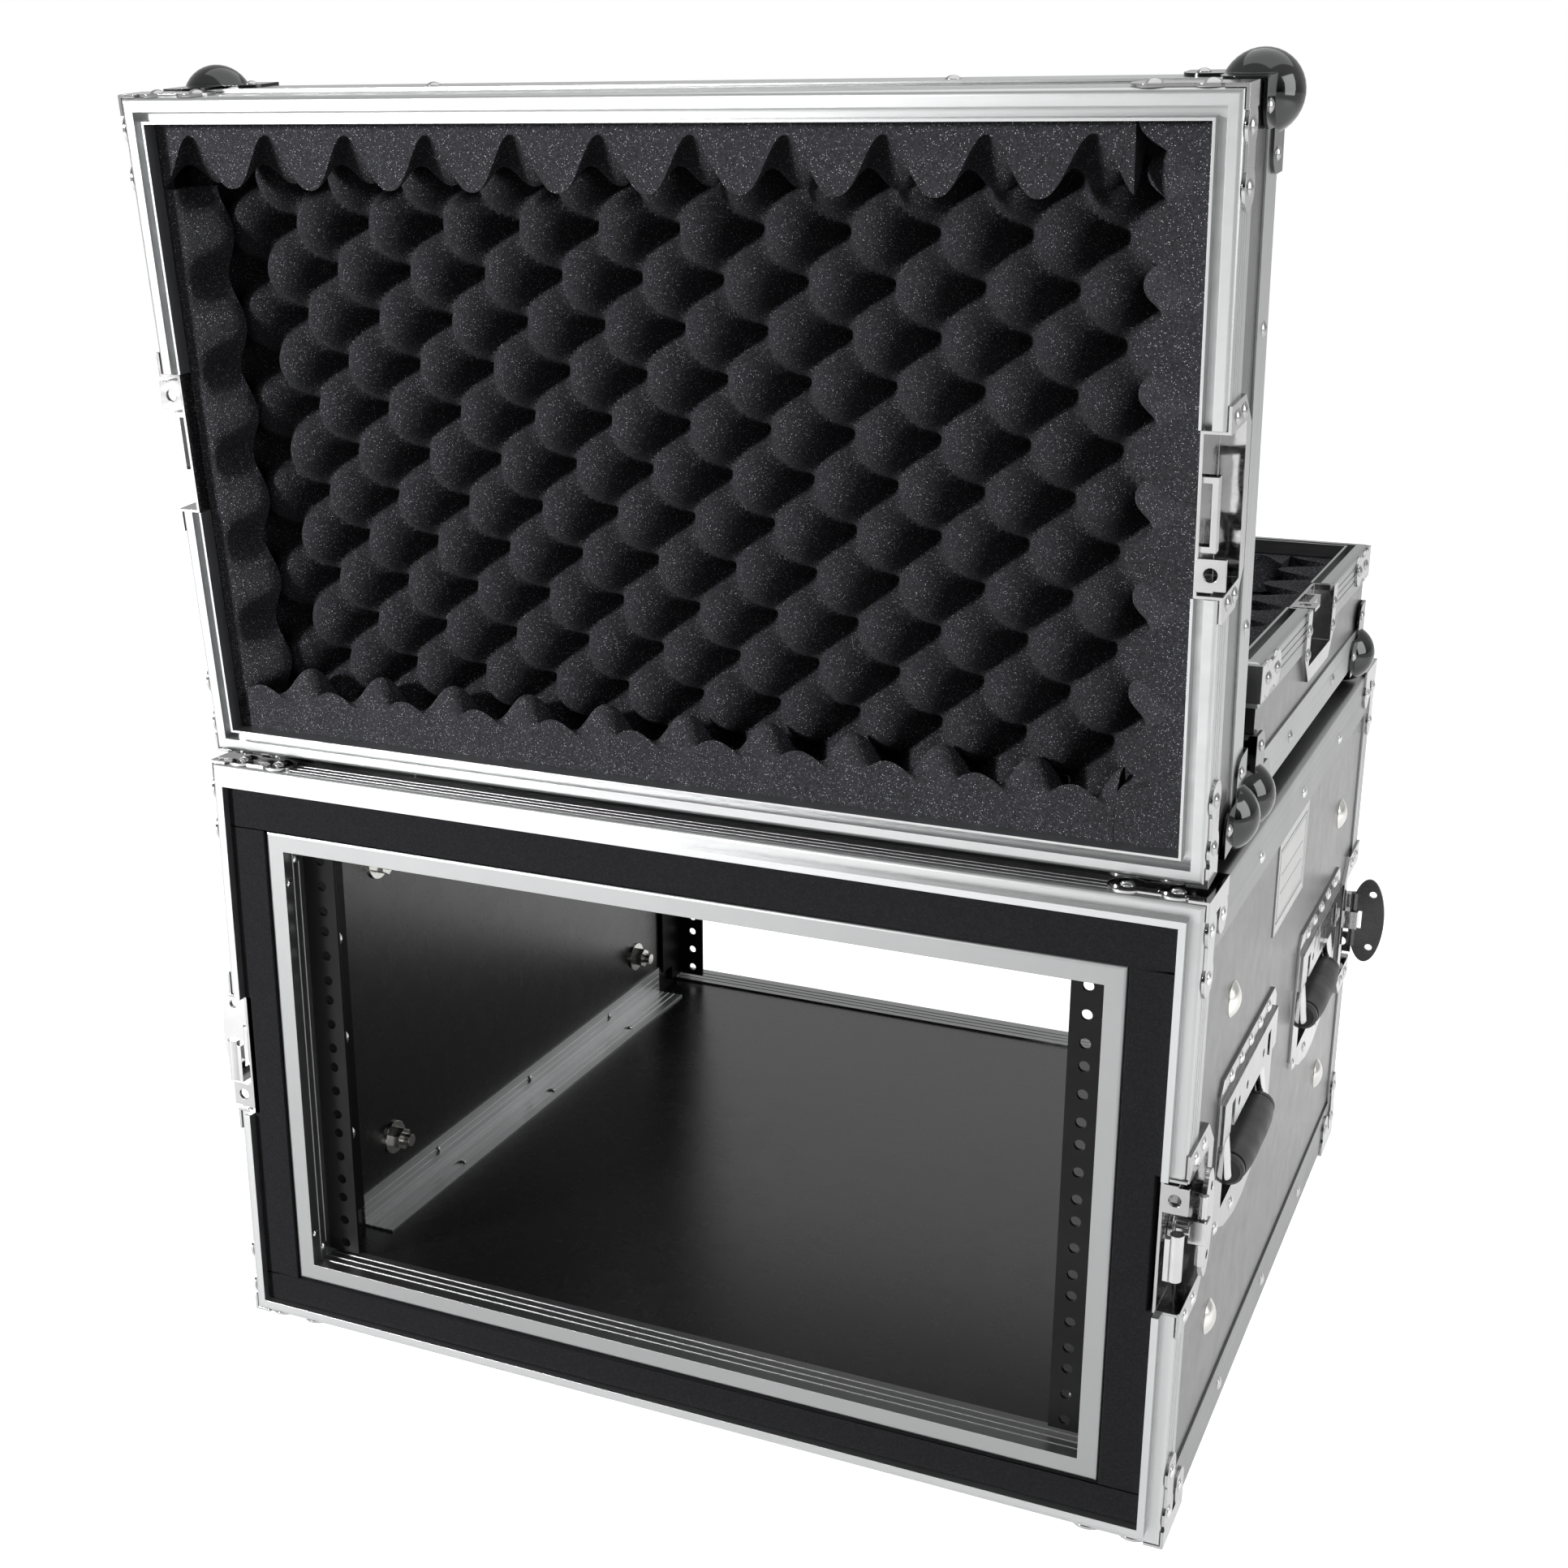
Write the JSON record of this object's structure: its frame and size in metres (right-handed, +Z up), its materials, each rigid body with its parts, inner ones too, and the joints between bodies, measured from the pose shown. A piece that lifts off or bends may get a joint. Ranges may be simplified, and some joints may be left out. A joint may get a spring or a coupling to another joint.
{
  "type": "shock-mount equipment rack case",
  "caption": "Flight case for rack equipment: black boards in aluminium extrusions round a rubber-mounted rack sleeve, with spring handles, twist latches and two foam-lined lids.",
  "frame": {"origin": "centre of the underside of the bottom board, on the ground", "axes": "+X to the right, the open front faces -Y, +Z up"},
  "size_m": [0.637, 0.5692, 0.7504],
  "materials": {
    "laminate_board": "black phenolic laminate, satin, fine scuffs",
    "sleeve_board": "black satin board",
    "satin_aluminium": "satin anodised, fine lengthwise ribs",
    "trim_aluminium": "satin anodised",
    "bright_bracket": "bright zinc",
    "bright_dish": "bright zinc, pressed",
    "rivet_steel": "bright",
    "bright_bolt": "bright zinc",
    "bail_steel": "bright zinc",
    "latch_steel": "bright zinc",
    "dark_chrome": "dark polished",
    "black_powder_coat": "fine black powder coat",
    "black_foam": "closed-cell foam, matt",
    "charcoal_foam": "convoluted open-cell foam, matt",
    "mount_rubber": "matt",
    "grip_rubber": "satin moulded",
    "white_label": "printed border, matt"
  },
  "bodies": {
    "case": {"top_panel": "laminate_board", "bottom_panel": "laminate_board", "left_panel": "laminate_board", "right_panel": "laminate_board", "front_extrusion": "satin_aluminium", "rear_extrusion": "satin_aluminium", "edge_angles": "satin_aluminium", "corner_brackets": "bright_bracket", "shell_rivets": "rivet_steel", "label_plate": "white_label", "gap_foam_strips": "black_foam", "sleeve_boards": "sleeve_board", "sleeve_trims": "trim_aluminium", "sleeve_corner_strips": "trim_aluminium", "sleeve_screws": "rivet_steel", "front_rack_rails": "black_powder_coat", "rear_rack_rails": "black_powder_coat", "shock_mount_rubbers": "mount_rubber", "shock_mount_bolts": "bright_bolt", "shock_mount_nuts": "bright_bolt", "handle_dishes": "bright_dish", "latch_dishes": "bright_dish"},
    "handle_right_front": {"handle_bail_right_front": "bail_steel", "handle_grip_right_front": "grip_rubber"},
    "latch_rotor_right_front": {"latch_rotor_right_front": "latch_steel"},
    "latch_wing_right_front": {"latch_wing_right_front": "latch_steel"},
    "latch_hook_right_front": {"latch_hook_right_front": "latch_steel"},
    "handle_left_front": {"handle_bail_left_front": "bail_steel", "handle_grip_left_front": "grip_rubber"},
    "latch_rotor_left_front": {"latch_rotor_left_front": "latch_steel"},
    "latch_wing_left_front": {"latch_wing_left_front": "latch_steel"},
    "latch_hook_left_front": {"latch_hook_left_front": "latch_steel"},
    "handle_right_rear": {"handle_bail_right_rear": "bail_steel", "handle_grip_right_rear": "grip_rubber"},
    "latch_rotor_right_rear": {"latch_rotor_right_rear": "latch_steel"},
    "latch_wing_right_rear": {"latch_wing_right_rear": "latch_steel"},
    "latch_hook_right_rear": {"latch_hook_right_rear": "latch_steel"},
    "handle_left_rear": {"handle_bail_left_rear": "bail_steel", "handle_grip_left_rear": "grip_rubber"},
    "latch_rotor_left_rear": {"latch_rotor_left_rear": "latch_steel"},
    "latch_wing_left_rear": {"latch_wing_left_rear": "latch_steel"},
    "latch_hook_left_rear": {"latch_hook_left_rear": "latch_steel"},
    "standing_lid": {"standing_lid_walls": "laminate_board", "standing_lid_back_board": "laminate_board", "standing_lid_extrusion": "satin_aluminium", "standing_lid_edge_angles": "satin_aluminium", "standing_lid_ball_corners": "dark_chrome", "standing_lid_keepers": "bright_dish", "standing_lid_fixings": "bright_bracket", "standing_lid_back_foam": "charcoal_foam", "standing_lid_side_foam": "charcoal_foam"},
    "lying_lid": {"lying_lid_walls": "laminate_board", "lying_lid_back_board": "laminate_board", "lying_lid_extrusion": "satin_aluminium", "lying_lid_edge_angles": "satin_aluminium", "lying_lid_ball_corners": "dark_chrome", "lying_lid_keepers": "bright_dish", "lying_lid_fixings": "bright_bracket", "lying_lid_back_foam": "charcoal_foam", "lying_lid_side_foam": "charcoal_foam"}
  },
  "joints": [
    {"name": "handle_swing_right_front", "type": "hinge", "parent": "case", "child": "handle_right_front", "pos_m": [0.288, -0.116, 0.212], "axis": [0, -1, 0], "range_deg": [0, 85]},
    {"name": "latch_twist_right_front", "type": "hinge", "parent": "case", "child": "latch_rotor_right_front", "pos_m": [0.2908, -0.246, 0.1803], "axis": [1, 0, 0], "range_deg": [0, 180]},
    {"name": "latch_flip_right_front", "type": "hinge", "parent": "latch_rotor_right_front", "child": "latch_wing_right_front", "pos_m": [0.297, -0.246, 0.1803], "axis": [0, 0, -1], "range_deg": [0, 90]},
    {"name": "latch_pull_right_front", "type": "slide", "parent": "case", "child": "latch_hook_right_front", "axis": [0, 1, 0], "range_m": [0, 0.01]},
    {"name": "handle_swing_left_front", "type": "hinge", "parent": "case", "child": "handle_left_front", "pos_m": [-0.288, -0.116, 0.212], "axis": [0, 1, 0], "range_deg": [0, 85]},
    {"name": "latch_twist_left_front", "type": "hinge", "parent": "case", "child": "latch_rotor_left_front", "pos_m": [-0.2908, -0.246, 0.1803], "axis": [1, 0, 0], "range_deg": [0, 180]},
    {"name": "latch_flip_left_front", "type": "hinge", "parent": "latch_rotor_left_front", "child": "latch_wing_left_front", "pos_m": [-0.297, -0.246, 0.1803], "axis": [0, 0, -1], "range_deg": [0, 90]},
    {"name": "latch_pull_left_front", "type": "slide", "parent": "case", "child": "latch_hook_left_front", "axis": [0, 1, 0], "range_m": [0, 0.01]},
    {"name": "handle_swing_right_rear", "type": "hinge", "parent": "case", "child": "handle_right_rear", "pos_m": [0.288, 0.116, 0.212], "axis": [0, -1, 0], "range_deg": [0, 85]},
    {"name": "latch_twist_right_rear", "type": "hinge", "parent": "case", "child": "latch_rotor_right_rear", "pos_m": [0.2908, 0.246, 0.1803], "axis": [-1, 0, 0], "range_deg": [0, 180]},
    {"name": "latch_flip_right_rear", "type": "hinge", "parent": "latch_rotor_right_rear", "child": "latch_wing_right_rear", "pos_m": [0.297, 0.246, 0.1803], "axis": [0, 0, -1], "range_deg": [0, 90]},
    {"name": "latch_pull_right_rear", "type": "slide", "parent": "case", "child": "latch_hook_right_rear", "axis": [0, -1, 0], "range_m": [0, 0.01]},
    {"name": "handle_swing_left_rear", "type": "hinge", "parent": "case", "child": "handle_left_rear", "pos_m": [-0.288, 0.116, 0.212], "axis": [0, 1, 0], "range_deg": [0, 85]},
    {"name": "latch_twist_left_rear", "type": "hinge", "parent": "case", "child": "latch_rotor_left_rear", "pos_m": [-0.2908, 0.246, 0.1803], "axis": [-1, 0, 0], "range_deg": [0, 180]},
    {"name": "latch_flip_left_rear", "type": "hinge", "parent": "latch_rotor_left_rear", "child": "latch_wing_left_rear", "pos_m": [-0.297, 0.246, 0.1803], "axis": [0, 0, -1], "range_deg": [0, 90]},
    {"name": "latch_pull_left_rear", "type": "slide", "parent": "case", "child": "latch_hook_left_rear", "axis": [0, -1, 0], "range_m": [0, 0.01]},
    {"name": "standing_lid_lift", "type": "slide", "parent": "case", "child": "standing_lid", "axis": [0, 0, 1], "range_m": [0, 0.25]},
    {"name": "lying_lid_lift", "type": "slide", "parent": "case", "child": "lying_lid", "axis": [0, 0, 1], "range_m": [0, 0.25]}
  ],
  "couplings": [
    {"joint": "latch_pull_right_front", "follows": "latch_twist_right_front", "m_per_rad": 0.00318},
    {"joint": "latch_pull_left_front", "follows": "latch_twist_left_front", "m_per_rad": 0.00318},
    {"joint": "latch_pull_right_rear", "follows": "latch_twist_right_rear", "m_per_rad": 0.00318},
    {"joint": "latch_pull_left_rear", "follows": "latch_twist_left_rear", "m_per_rad": 0.00318}
  ]
}
